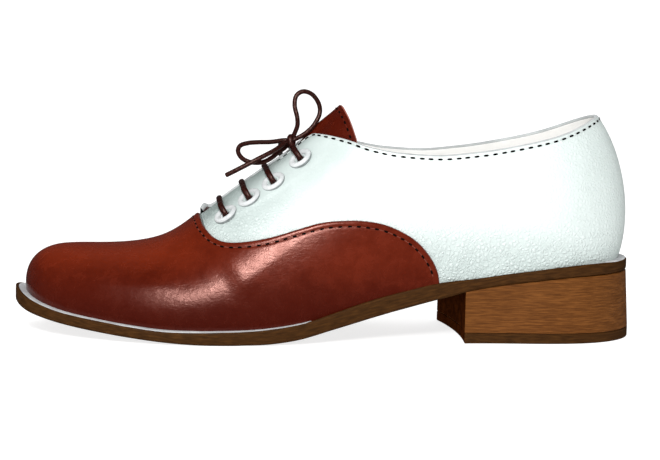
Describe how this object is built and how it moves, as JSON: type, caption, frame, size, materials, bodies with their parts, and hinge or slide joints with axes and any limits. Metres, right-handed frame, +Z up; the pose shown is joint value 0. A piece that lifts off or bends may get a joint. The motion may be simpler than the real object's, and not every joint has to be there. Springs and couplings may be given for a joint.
{
  "type": "oxford shoe",
  "caption": "Two-tone leather lace-up oxford shoe with a low stacked heel: hollow upper open at collar and throat, vamp overlay, tongue, eyelets and a lace tied in a bow.",
  "frame": {"origin": "on the floor under the middle of the shoe's box, without the free lace", "axes": "+X from toe to heel, +Y to the inner side of the foot, +Z up"},
  "size_m": [0.2678, 0.0873, 0.1053],
  "materials": {
    "sole_leather": "satin dyed edge",
    "stacked_heel": "satin, fine level grain",
    "welt": "satin",
    "insole": "matt",
    "white_leather": "satin, fine grain",
    "brown_leather": "polished",
    "eyelet": "gloss enamel",
    "lace": "waxed weave"
  },
  "bodies": {
    "root": {"outsole": "sole_leather", "heel_top_lift": "sole_leather", "heel_block": "stacked_heel", "welt": "welt", "insole": "insole", "upper": "white_leather", "vamp": "brown_leather", "tongue": "brown_leather", "eyelet_lateral_1": "eyelet", "eyelet_lateral_2": "eyelet", "eyelet_lateral_3": "eyelet", "eyelet_lateral_4": "eyelet", "eyelet_medial_1": "eyelet", "eyelet_medial_2": "eyelet", "eyelet_medial_3": "eyelet", "eyelet_medial_4": "eyelet", "lace_bar_1": "lace", "lace_bar_2": "lace", "lace_bar_3": "lace", "lace_top_lateral": "lace", "lace_top_medial": "lace", "lace_knot": "lace", "lace_loop_up": "lace", "lace_loop_front": "lace", "lace_end_front": "lace", "lace_end_far": "lace"}
  },
  "joints": []
}
